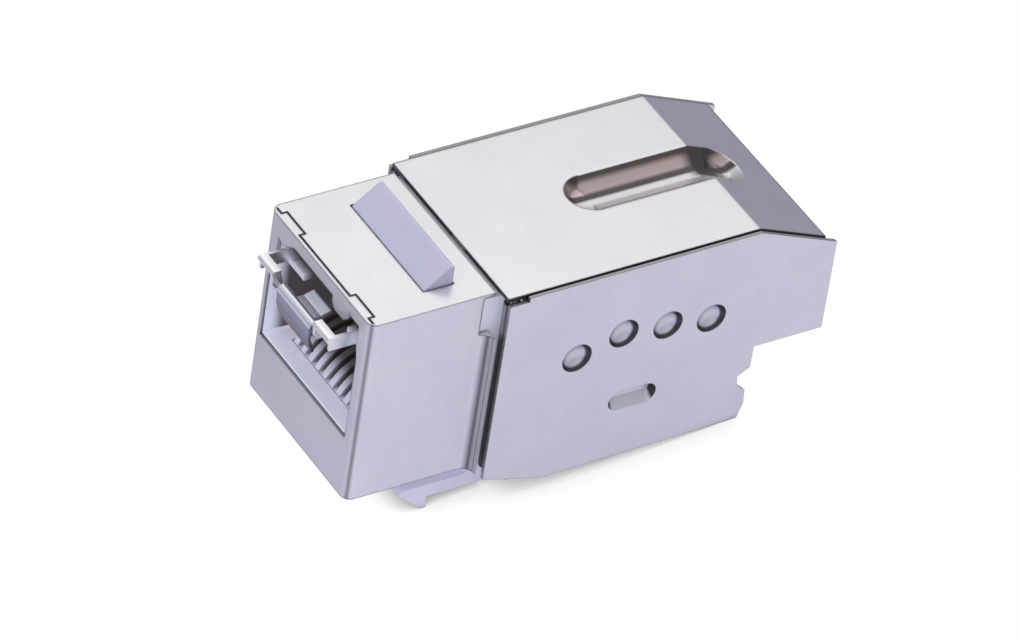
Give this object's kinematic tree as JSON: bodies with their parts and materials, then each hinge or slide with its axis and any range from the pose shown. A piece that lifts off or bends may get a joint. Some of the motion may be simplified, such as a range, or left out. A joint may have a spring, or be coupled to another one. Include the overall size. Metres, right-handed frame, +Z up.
{
  "type": "keystone jack",
  "caption": "Shielded tool-free keystone jack with a snap latch, hinged side doors that press wires onto terminals, and a modular plug port.",
  "frame": {"origin": "middle of the lower edge of the front face of the shield", "axes": "+X to the right seen from the front, +Y rearward from the face to the cable end, +Z up towards the fixed nib"},
  "size_m": [0.0174, 0.041, 0.0219],
  "materials": {
    "shield_sheet": "satin tinned sheet",
    "pale_plastic": "moulded, faint sheen",
    "inner_plastic": "moulded, matt",
    "gold_spring": "gold plated",
    "terminal_metal": "tin plated",
    "clip_steel": "bright spring steel",
    "board": "solder resist",
    "pin_steel": "drawn wire"
  },
  "bodies": {
    "housing": {"front_shield": "shield_sheet", "rear_cover": "shield_sheet", "bottom_shield": "shield_sheet", "port_housing": "pale_plastic", "contact_comb": "pale_plastic", "terminal_block": "inner_plastic", "ground_clip": "clip_steel", "flap_pin": "pin_steel", "hinge_pin_left": "pin_steel", "hinge_pin_right": "pin_steel", "circuit_board": "board", "contact_spring_1": "gold_spring", "contact_spring_2": "gold_spring", "contact_spring_3": "gold_spring", "contact_spring_4": "gold_spring", "contact_spring_5": "gold_spring", "contact_spring_6": "gold_spring", "contact_spring_7": "gold_spring", "contact_spring_8": "gold_spring", "terminal_left_1": "terminal_metal", "terminal_right_1": "terminal_metal", "terminal_left_2": "terminal_metal", "terminal_right_2": "terminal_metal", "terminal_left_3": "terminal_metal", "terminal_right_3": "terminal_metal", "terminal_left_4": "terminal_metal", "terminal_right_4": "terminal_metal"},
    "door_left": {"side_door_left": "shield_sheet", "wire_stuffer_left": "inner_plastic"},
    "door_right": {"side_door_right": "shield_sheet", "wire_stuffer_right": "inner_plastic"},
    "latch": {"keystone_latch": "pale_plastic"},
    "flap": {"port_flap": "clip_steel"}
  },
  "joints": [
    {"name": "door_left_swing", "type": "hinge", "parent": "housing", "child": "door_left", "pos_m": [-0.00801, 0.01135, 0.008], "axis": [0, 0, 1], "range_deg": [0, 95]},
    {"name": "door_right_swing", "type": "hinge", "parent": "housing", "child": "door_right", "pos_m": [0.00801, 0.01135, 0.008], "axis": [0, 0, -1], "range_deg": [0, 95]},
    {"name": "latch_press", "type": "hinge", "parent": "housing", "child": "latch", "pos_m": [0, 0.0126, -0.0002], "axis": [-1, 0, 0], "range_deg": [0, 9], "stiffness_Nm_per_rad": 0.02},
    {"name": "flap_swing", "type": "hinge", "parent": "housing", "child": "flap", "pos_m": [0, -0.0014, 0.01295], "axis": [1, 0, 0], "range_deg": [0, 75], "stiffness_Nm_per_rad": 0.0005}
  ]
}
